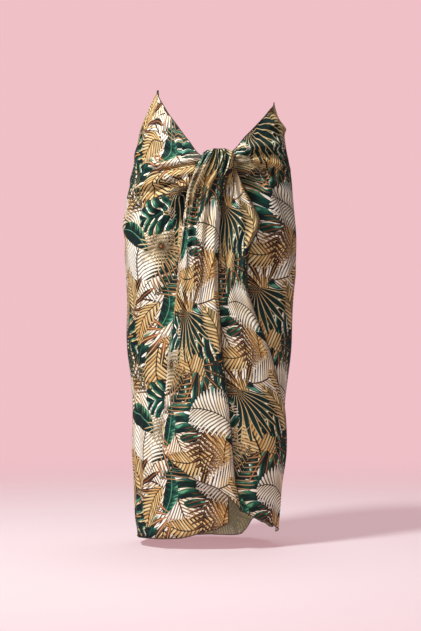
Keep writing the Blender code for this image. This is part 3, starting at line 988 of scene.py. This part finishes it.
def draw_burst(s, x, y, given, result):
    """A spiky palm seen from above: thin leaves out of a warm centre."""
    y = s.sub(y, 0.5)
    turn = s.math("ARCTAN2", x, y)
    out = s.mul(s.distance(x, y), 2.0)
    swirl = s.add(s.mul(turn, given["Ribs"]), s.mul(out, 1.2))
    spike = s.stripe(swirl)
    ragged = s.noise(s.join(s.mul(turn, 1.6), 0.0), 2.4)
    reach = s.add(0.25, s.mul(ragged, 1.1))
    inside = s.below(s.math("DIVIDE", out, reach), s.sub(1.0, s.mul(spike, 0.92)))
    tone = s.mix(s.ramp(out, 0.00, 0.07), given["Middle"], given["Dark"])
    warm = s.mul(s.sub(1.0, s.ramp(spike, 0.16, 0.36)), s.ramp(out, 0.04, 0.2))
    tone = s.mix(s.mul(warm, 0.8), tone, given["Light"])
    s.put(result, s.mix(inside, given["Under"], tone))


def draw_monstera(s, x, y, given, result):
    """A heart-shaped leaf, lobed at its rim, with slits and with holes along its midrib."""
    yc = s.sub(y, 0.40)
    turn = s.size(s.math("ARCTAN2", x, yc))
    out = s.distance(x, yc)
    tip = s.mul(s.math("COSINE", s.math("MINIMUM", turn, 1.57)), 0.15)
    heart = s.add(s.sub(0.46, s.mul(s.ramp(turn, 2.3, 3.14), 0.34)), tip)
    side = s.size(x)
    sweep = s.sub(s.mul(side, 1.35), s.mul(s.mul(side, side), 1.2))
    lobes = s.mul(s.sub(y, sweep), given["Ribs"])
    lobe = s.stripe(lobes)
    rim = s.sub(1.0, s.mul(s.mul(lobe, lobe), 0.13))
    reach = s.math("DIVIDE", out, s.mul(heart, rim))
    slit = s.above(lobe, s.sub(1.0, s.mul(s.ramp(reach, 0.42, 1.05), 0.26)))
    across = s.mul(s.sub(side, 0.11), 17.0)
    along = s.mul(s.sub(1.0, lobe), 3.6)
    hole = s.below(s.add(s.mul(across, across), s.mul(along, along)), 1.0)
    hole = s.mul(hole, s.below(reach, 0.62))
    inside = s.below(reach, 1.0)
    streak = s.noise(s.join(s.mul(lobes, 1.5), s.mul(side, 2.2)), 2.0, 3.0)
    facing = s.add(s.mul(s.math("FRACT", lobes), 0.30), s.sub(streak, 0.15))
    shine = s.mul(s.ramp(facing, 0.36, 0.66), s.ramp(reach, 0.05, 0.6))
    tone = s.mix(shine, given["Dark"], given["Middle"])
    glint = s.mul(s.ramp(facing, 0.56, 0.74), s.ramp(reach, 0.3, 0.7))
    tone = s.mix(s.mul(glint, 0.75), tone, COLOURS["mint"])
    tone = s.mix(s.below(side, 0.009), tone, given["Middle"])
    gap = s.mix(s.above(reach, 0.86), given["Light"], given["Under"])
    tone = s.mix(slit, tone, gap)
    tone = s.mix(hole, tone, given["Light"])
    s.put(result, s.mix(inside, given["Under"], tone))


def draw_sprig(s, x, y, given, result):
    """A few narrow leaves that spread from one stalk."""
    turn = s.math("ARCTAN2", x, y)
    out = s.distance(x, y)
    leaf = s.mul(turn, given["Ribs"])
    blade = s.stripe(s.add(leaf, 0.5))
    blade = s.sub(1.0, blade)
    length = s.add(0.62, s.mul(s.noise(s.join(s.math("ROUND", leaf), 0.0), 3.1), 0.7))
    part = s.math("MINIMUM", s.math("DIVIDE", out, length), 1.0)
    width = s.math("POWER", s.math("SINE", s.mul(part, pi)), 0.8)
    inside = s.below(s.sub(1.0, blade), s.mul(width, 0.46))
    inside = s.mul(inside, s.below(s.size(turn), given["Width"]))
    tone = s.mix(s.ramp(part, 0.2, 0.9), given["Middle"], given["Dark"])
    tone = s.mix(s.mul(s.below(s.sub(1.0, blade), 0.07), 0.7), tone, given["Light"])
    s.put(result, s.mix(inside, given["Under"], tone))


def draw_banana(s, x, y, given, result):
    """A broad smooth leaf with close side veins and a paler rim."""
    side = s.size(x)
    width = half_width(s, y, given["Width"], 0.75)
    reach = s.math("DIVIDE", side, width)
    place = s.mul(s.sub(y, s.mul(side, 0.55)), given["Ribs"])
    vein = s.stripe(place)
    across = s.math("DIVIDE", x, width)
    streak = s.noise(s.join(s.mul(place, 0.9), s.mul(x, 3.0)), 1.6, 3.0)
    facing = s.add(s.mul(across, 0.14), streak)
    tone = s.mix(s.ramp(facing, 0.38, 0.62), given["Dark"], given["Middle"])
    glint = s.mul(s.ramp(facing, 0.54, 0.74), s.ramp(reach, 0.2, 0.8))
    tone = s.mix(s.mul(glint, 0.8), tone, given["Light"])
    tone = s.mix(s.mul(s.ramp(vein, 0.70, 0.95), 0.65), tone, given["Dark"])
    tone = s.mix(s.mul(s.below(side, 0.008), 0.6), tone, given["Light"])
    s.put(result, s.mix(s.below(reach, 1.0), given["Under"], tone))


def draw_fern(s, x, y, given, result):
    """A frond of thin pointed leaflets with the cloth in sight between them."""
    side = s.size(x)
    width = half_width(s, y, given["Width"], 0.55)
    reach = s.math("DIVIDE", side, width)
    leaflet = s.stripe(s.mul(s.sub(y, s.mul(side, 0.70)), given["Ribs"]))
    taper = s.mul(s.math("POWER", s.math("MAXIMUM", s.sub(1.0, reach), 0.0), 0.7), 0.66)
    inside = s.math("MAXIMUM", s.below(leaflet, taper), s.below(side, 0.008))
    inside = s.mul(inside, s.below(reach, 1.0))
    tone = s.mix(s.ramp(reach, 0.1, 0.9), given["Dark"], given["Middle"])
    tone = s.mix(s.mul(s.ramp(leaflet, 0.30, 0.0), 0.5), tone, given["Light"])
    s.put(result, s.mix(inside, given["Under"], tone))


LEAF_KINDS = {
    "frond": draw_frond,
    "feather": draw_feather,
    "fan": draw_fan,
    "burst": draw_burst,
    "monstera": draw_monstera,
    "sprig": draw_sprig,
    "banana": draw_banana,
    "fern": draw_fern,
}

# The print's own layout, from the lowest leaf to the top one. Each row has the place of a leaf on
# the flat cloth, its turn in degrees, length, bend, width in lengths, ribs and three colours.
Leaf = namedtuple("Leaf", "kind u v turn length bend width ribs dark middle light")
LEAVES = [
    Leaf("feather", 0.03, 0.06, 12, 0.25, 0.3, 0.46, 26, "brown", "paper", "cream"),
    Leaf("feather", 0.19, 0.13, -48, 0.25, -0.3, 0.46, 27, "grey", "cream", "cream"),
    Leaf("feather", 0.10, 0.27, 74, 0.25, 0.3, 0.46, 26, "brown", "cream", "cream"),
    Leaf("feather", 0.26, 0.34, 158, 0.25, 0.2, 0.46, 27, "umber", "paper", "cream"),
    Leaf("frond", 0.11, 0.14, 58, 0.21, 0.5, 0.34, 21, "umber", "ochre", "gold"),
    Leaf("frond", 0.27, 0.22, -24, 0.20, -0.5, 0.34, 20, "brown", "ochre", "gold"),
    Leaf("frond", 0.03, 0.37, 132, 0.20, 0.4, 0.34, 20, "umber", "rust", "gold"),
    Leaf("monstera", 0.05, 0.16, -28, 0.165, 0.2, 0.0, 5.4, "teal", "leaf", "cream"),
    Leaf("burst", 0.00, 0.26, 0, 0.20, 0.0, 0.0, 5.6, "umber", "brown", "gold"),
    Leaf("frond", 0.18, 0.40, 20, 0.20, 0.4, 0.34, 20, "umber", "ochre", "gold"),
    Leaf("monstera", 0.24, 0.06, 140, 0.150, -0.2, 0.0, 5.2, "teal", "pine", "cream"),
    Leaf("feather", 0.15, 0.21, 205, 0.20, 0.4, 0.42, 21, "brown", "cream", "cream"),
    Leaf("fan", 0.14, 0.04, 170, 0.12, 0.0, 1.6, 4.6, "teal", "pine", "gold"),
    Leaf("burst", 0.22, 0.18, 20, 0.16, 0.0, 0.0, 5.0, "brown", "rust", "ochre"),
    Leaf("banana", 0.09, 0.36, 108, 0.13, 0.4, 0.25, 15, "teal", "leaf", "mint"),
    Leaf("frond", 0.28, 0.13, -65, 0.16, 0.4, 0.30, 17, "brown", "gold", "cream"),
    Leaf("monstera", 0.19, 0.30, 40, 0.165, 0.2, 0.0, 5.4, "teal", "leaf", "cream"),
    Leaf("feather", 0.06, 0.42, -20, 0.19, -0.4, 0.40, 22, "grey", "cream", "cream"),
    Leaf("frond", 0.09, 0.09, 190, 0.15, 0.6, 0.28, 15, "umber", "ochre", "gold"),
    Leaf("sprig", 0.05, 0.28, -60, 0.10, 0.0, 1.5, 2.1, "umber", "brown", "rust"),
    Leaf("monstera", 0.29, 0.40, -120, 0.130, 0.2, 0.0, 4.8, "teal", "pine", "gold"),
    Leaf("sprig", 0.15, 0.13, 30, 0.10, 0.0, 1.4, 2.0, "umber", "brown", "ochre"),
    Leaf("banana", 0.03, 0.01, 66, 0.12, 0.5, 0.20, 14, "teal", "pine", "mint"),
    Leaf("burst", 0.11, 0.40, 70, 0.15, 0.0, 0.0, 4.6, "umber", "rust", "gold"),
    Leaf("frond", 0.17, 0.17, 96, 0.13, -0.5, 0.26, 13, "umber", "ochre", "gold"),
    Leaf("sprig", 0.23, 0.34, 200, 0.11, 0.0, 1.6, 2.2, "umber", "brown", "ochre"),
    Leaf("banana", 0.12, 0.25, -12, 0.10, 0.5, 0.18, 13, "teal", "leaf", "mint"),
    Leaf("frond", 0.27, 0.06, 28, 0.12, 0.5, 0.26, 12, "brown", "khaki", "gold"),
    Leaf("sprig", 0.08, 0.19, 110, 0.09, 0.0, 1.3, 2.1, "umber", "rust", "gold"),
    Leaf("frond", 0.06, 0.23, 150, 0.11, 0.5, 0.24, 12, "umber", "ochre", "gold"),
    Leaf("fern", 0.21, 0.22, 160, 0.14, 0.6, 0.36, 11, "umber", "brown", "rust"),
    Leaf("fern", 0.02, 0.10, 35, 0.12, -0.6, 0.36, 10, "umber", "brown", "ochre"),
    Leaf("feather", 0.25, 0.29, 70, 0.13, 0.5, 0.42, 14, "umber", "paper", "cream"),
    Leaf("fern", 0.14, 0.33, -35, 0.13, 0.5, 0.36, 11, "umber", "rust", "gold"),
    Leaf("monstera", 0.10, 0.05, 100, 0.095, 0.3, 0.0, 4.2, "teal", "leaf", "cream"),
    Leaf("fern", 0.29, 0.36, 205, 0.11, -0.5, 0.36, 10, "teal", "pine", "leaf"),
    Leaf("frond", 0.01, 0.31, 30, 0.11, 0.5, 0.26, 12, "umber", "ochre", "gold"),
]


def print_group():
    """The whole print as one node group: cloth coordinates in, colour out."""
    kinds = {kind: leaf_group("leaf " + kind, draw) for kind, draw in LEAF_KINDS.items()}
    tree = bpy.data.node_groups.new("leaf print", "ShaderNodeTree")
    tree.interface.new_socket("Cloth", in_out="INPUT", socket_type="NodeSocketVector")
    tree.interface.new_socket("Colour", in_out="OUTPUT", socket_type="NodeSocketColor")
    cloth = tree.nodes.new("NodeGroupInput").outputs[0]
    result = tree.nodes.new("NodeGroupOutput").inputs[0]
    s = Shader(tree)
    u, v = s.split(cloth)
    waver = s.sub(s.noise(cloth, 10.0, 0.0), 0.5)
    sway = s.sub(s.noise(s.join(v, u), 9.0, 0.0), 0.5)
    hand_drawn = s.join(s.add(u, s.mul(waver, HAND_WAVER)), s.add(v, s.mul(sway, HAND_WAVER)))
    colour = COLOURS["cream"]
    for leaf in LEAVES:
        node = tree.nodes.new("ShaderNodeGroup")
        node.node_tree = kinds[leaf.kind]
        turn = radians(leaf.turn)
        given = {
            "Cloth": hand_drawn if leaf is LEAVES[0] else s.after(hand_drawn, colour),
            "Centre U": leaf.u,
            "Centre V": leaf.v,
            "Along U": -sin(turn) / leaf.length,
            "Along V": cos(turn) / leaf.length,
            "Bend": leaf.bend,
            "Width": leaf.width,
            "Ribs": leaf.ribs,
            "Dark": COLOURS[leaf.dark],
            "Middle": COLOURS[leaf.middle],
            "Light": COLOURS[leaf.light],
            "Under": colour,
        }
        for label, value in given.items():
            s.put(node.inputs[label], value)
        colour = node.outputs[0]
    s.put(result, colour)
    return tree


def new_material(name):
    """A material with its tree, its shader and the short ways to add nodes to it."""
    material = bpy.data.materials.new(name)
    material.use_nodes = True
    tree = material.node_tree
    return material, tree, tree.nodes["Principled BSDF"], Shader(tree)


def bump_from(s, shader, height, strength, distance):
    """Fine relief on a shader, from a height."""
    bump = s.tree.nodes.new("ShaderNodeBump")
    bump.inputs["Strength"].default_value = strength
    bump.inputs["Distance"].default_value = distance
    s.put(bump.inputs["Height"], height)
    s.put(shader.inputs["Normal"], bump.outputs[0])


def cloth_material(name, leaf_print, reverse):
    """Printed plain weave. The wrong side shows the print through a pale green wash."""
    material, tree, shader, s = new_material(name)
    place = tree.nodes.new("ShaderNodeTexCoord").outputs["UV"]
    drawn = tree.nodes.new("ShaderNodeGroup")
    drawn.node_tree = leaf_print
    s.put(drawn.inputs[0], place)
    colour = drawn.outputs[0]
    wash = s.ramp(s.noise(place, 60.0, 3.0), 0.25, 0.75)
    colour = s.shade(colour, s.add(0.88, s.mul(wash, 0.16)))
    golden = s.ramp(s.noise(place, 13.0, 2.0), 0.46, 0.66)
    colour = s.mix(s.mul(golden, 0.5), colour, srgb(248, 222, 180), blend="MULTIPLY")
    if reverse:
        colour = s.mix(0.54, colour, srgb(208, 227, 187))
    s.put(shader.inputs["Base Color"], colour)
    u, v = s.split(place)
    warp = s.math("SINE", s.mul(u, 2 * pi / THREAD_PITCH))
    weft = s.math("SINE", s.mul(v, 2 * pi / THREAD_PITCH))
    slub = s.noise(s.join(u, s.mul(v, 12.0)), 90.0, 2.0)
    weave = s.add(s.mul(s.mul(warp, weft), 0.5), s.mul(slub, 0.8))
    bump_from(s, shader, weave, 0.35, 0.0002)
    s.put(shader.inputs["Roughness"], s.add(0.62, s.mul(slub, 0.18)))
    shader.inputs["Specular IOR Level"].default_value = 0.22
    shader.inputs["Sheen Weight"].default_value = 0.03
    shader.inputs["Sheen Roughness"].default_value = 0.4
    return material


def hem_material():
    """Dark overlocked thread, mottled by its fine stitches."""
    material, tree, shader, s = new_material("hem_stitching")
    place = tree.nodes.new("ShaderNodeTexCoord").outputs["Object"]
    stitch = s.noise(place, 900.0, 1.0)
    shade = s.mix(s.ramp(stitch, 0.35, 0.65), srgb(34, 24, 20), srgb(84, 60, 44))
    s.put(shader.inputs["Base Color"], shade)
    bump_from(s, shader, stitch, 0.5, 0.0003)
    shader.inputs["Roughness"].default_value = 0.8
    return material


def make_floor():
    """A pale floor that fades into the backdrop."""
    bpy.ops.object.select_all(action="DESELECT")
    bpy.ops.mesh.primitive_circle_add(
        vertices=96, radius=3.0, fill_type="NGON", location=(0, 0, FLOOR_HEIGHT)
    )
    floor = bpy.context.active_object
    floor.name = "studio_floor"
    material, tree, shader, s = new_material("studio_floor")
    shader.inputs["Base Color"].default_value = srgb(172, 174, 174)
    shader.inputs["Emission Color"].default_value = srgb(236, 176, 186)
    shader.inputs["Emission Strength"].default_value = 0.50
    shader.inputs["Roughness"].default_value = 0.9
    place = tree.nodes.new("ShaderNodeTexCoord").outputs["Object"]
    away = s.distance(*s.split(place))
    clear = tree.nodes.new("ShaderNodeBsdfTransparent").outputs[0]
    blend = tree.nodes.new("ShaderNodeMixShader")
    s.put(blend.inputs[0], s.ramp(away, 0.5, 2.6))
    s.put(blend.inputs[1], shader.outputs[0])
    s.put(blend.inputs[2], clear)
    s.put(tree.nodes["Material Output"].inputs["Surface"], blend.outputs[0])
    floor.data.materials.append(material)


def make_backdrop():
    """Plain pink to the camera, and a weaker, paler light on the cloth."""
    world = bpy.data.worlds.new("studio")
    world.use_nodes = True
    tree = world.node_tree
    seen = tree.nodes["Background"]
    seen.inputs["Color"].default_value = srgb(240, 192, 199)
    seen.inputs["Strength"].default_value = 1.0
    lit = tree.nodes.new("ShaderNodeBackground")
    lit.inputs["Color"].default_value = srgb(250, 240, 240)
    lit.inputs["Strength"].default_value = 0.18
    ray = tree.nodes.new("ShaderNodeLightPath")
    both = tree.nodes.new("ShaderNodeMixShader")
    tree.links.new(ray.outputs["Is Camera Ray"], both.inputs[0])
    tree.links.new(lit.outputs[0], both.inputs[1])
    tree.links.new(seen.outputs[0], both.inputs[2])
    tree.links.new(both.outputs[0], tree.nodes["World Output"].inputs["Surface"])
    bpy.context.scene.world = world
    bpy.context.scene.view_settings.view_transform = "Standard"


def hang_lamp(lamp):
    """A round soft light that faces the middle of the cloth."""
    light = bpy.data.lights.new(lamp.name, "AREA")
    light.shape = "DISK"
    light.size = lamp.size
    light.energy = lamp.power
    holder = bpy.data.objects.new(lamp.name, light)
    bpy.context.scene.collection.objects.link(holder)
    holder.location = lamp.place
    aim = np.array(LAMPS_AIM) - np.array(lamp.place)
    tilt = float(np.arctan2(np.hypot(aim[0], aim[1]), -aim[2]))
    heading = float(np.arctan2(aim[1], aim[0])) - pi / 2
    holder.rotation_euler = (tilt, 0.0, heading)


def set_camera():
    """The photograph's view, level with the middle of the picture."""
    camera = bpy.data.cameras.new("photo view")
    camera.sensor_fit = "VERTICAL"
    camera.sensor_height = 24.0
    camera.lens = camera.sensor_height * CAMERA_DISTANCE / (IMAGE_HEIGHT * PIXEL)
    holder = bpy.data.objects.new("photo view", camera)
    bpy.context.scene.collection.objects.link(holder)
    holder.location = (IMAGE_CENTRE_X, -CAMERA_DISTANCE, IMAGE_CENTRE_Z)
    holder.rotation_euler = (radians(90), 0.0, 0.0)
    bpy.context.scene.camera = holder


leaf_print = print_group()
MATERIALS = {
    "printed_cloth": cloth_material("printed_cloth", leaf_print, reverse=False),
    "cloth_reverse": cloth_material("cloth_reverse", leaf_print, reverse=True),
    "hem_stitching": hem_material(),
}
make_wrap()
make_knot()
make_tail(RIGHT_TAIL)
make_tail(CENTRE_TAIL)
make_floor()
make_backdrop()
for lamp in LAMPS:
    hang_lamp(lamp)
set_camera()
